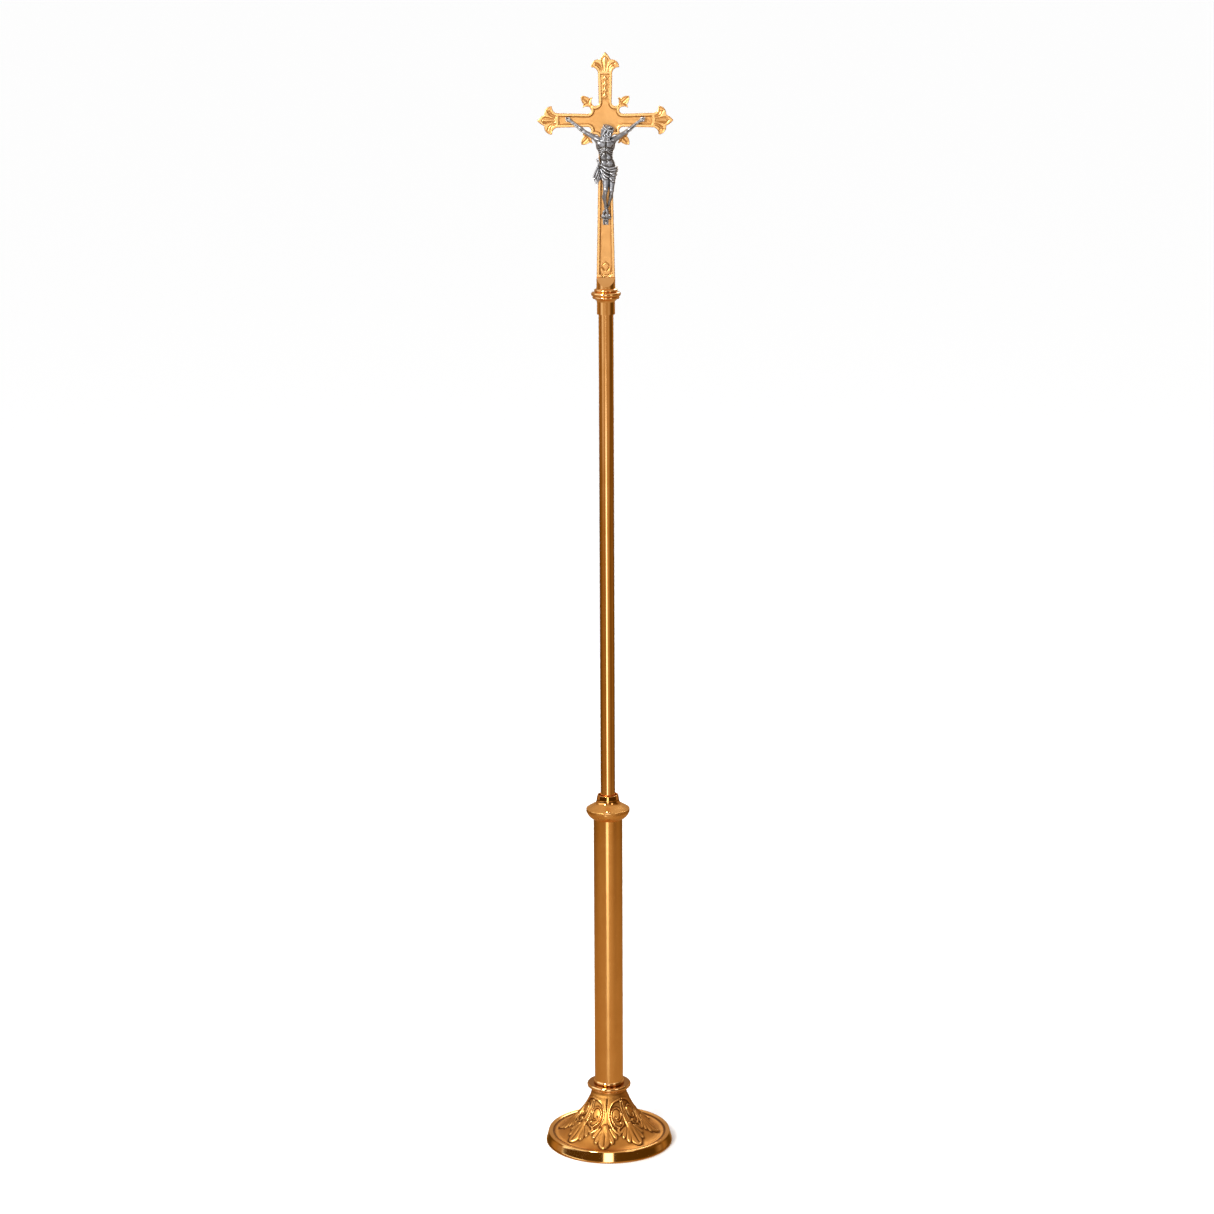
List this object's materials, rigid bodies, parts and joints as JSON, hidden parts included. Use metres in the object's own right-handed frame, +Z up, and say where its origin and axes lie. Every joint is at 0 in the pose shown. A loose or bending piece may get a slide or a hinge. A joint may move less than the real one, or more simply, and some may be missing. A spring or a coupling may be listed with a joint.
{
  "type": "processional cross",
  "caption": "Cast cross with a figure on a brass pole that lifts and turns in a floor stand: round relief foot, column, bowl cap and lock screw.",
  "frame": {"origin": "centre of the foot on the floor", "axes": "+Z up along the pole, the front of the cross faces -Y, +X to the viewer's right"},
  "size_m": [0.27, 0.268, 2.286],
  "materials": {
    "felt": "pressed felt",
    "base_bronze": "satin cast relief with polished rim",
    "ballast_iron": "as cast, black",
    "plate_steel": "black enamel",
    "fastener_steel": "zinc plated",
    "polished_brass": "mirror polished and lacquered",
    "inner_brass": "as drawn",
    "column_brass": "fine polished, lacquered",
    "cap_brass": "satin flange, polished cup",
    "nylon": "natural",
    "screw_brass": "polished",
    "pole_brass": "mirror polished, lacquered",
    "cross_bronze": "satin field, polished border",
    "oxidised_silver": "oxidised silver plate, relieved",
    "rivet_silver": "oxidised silver plate"
  },
  "bodies": {
    "stand": {"base_felt_ring": "felt", "base_casting": "base_bronze", "base_ballast": "ballast_iron", "base_cover_plate": "plate_steel", "cover_screws": "fastener_steel", "tie_bolt": "fastener_steel", "tie_washer": "fastener_steel", "neck_ring": "polished_brass", "column_seat_bead": "polished_brass", "column_foot_plug": "inner_brass", "column_tube": "column_brass", "column_cap": "cap_brass", "socket_sleeve": "inner_brass"},
    "heel_pad": {"heel_pad": "nylon"},
    "lock_screw": {"lock_screw": "screw_brass"},
    "pole": {"pole_tube": "pole_brass", "pole_end_plug": "inner_brass", "pole_top_plug": "inner_brass", "head_sleeve": "polished_brass", "knop": "polished_brass", "cross_stud": "fastener_steel", "cross_socket": "polished_brass", "cross_casting": "cross_bronze", "corpus": "oxidised_silver", "hand_rivets": "rivet_silver", "foot_rivet": "rivet_silver"}
  },
  "joints": [
    {"name": "pole_turn", "type": "hinge", "parent": "stand", "child": "heel_pad", "pos_m": [0, 0, 0.19], "axis": [0, 0, 1], "continuous": true},
    {"name": "pole_lift", "type": "slide", "parent": "heel_pad", "child": "pole", "axis": [0, 0, 1], "range_m": [0, 0.58]},
    {"name": "lock_screw_travel", "type": "slide", "parent": "stand", "child": "lock_screw", "axis": [0, -1, 0], "range_m": [0, 0.006]}
  ]
}
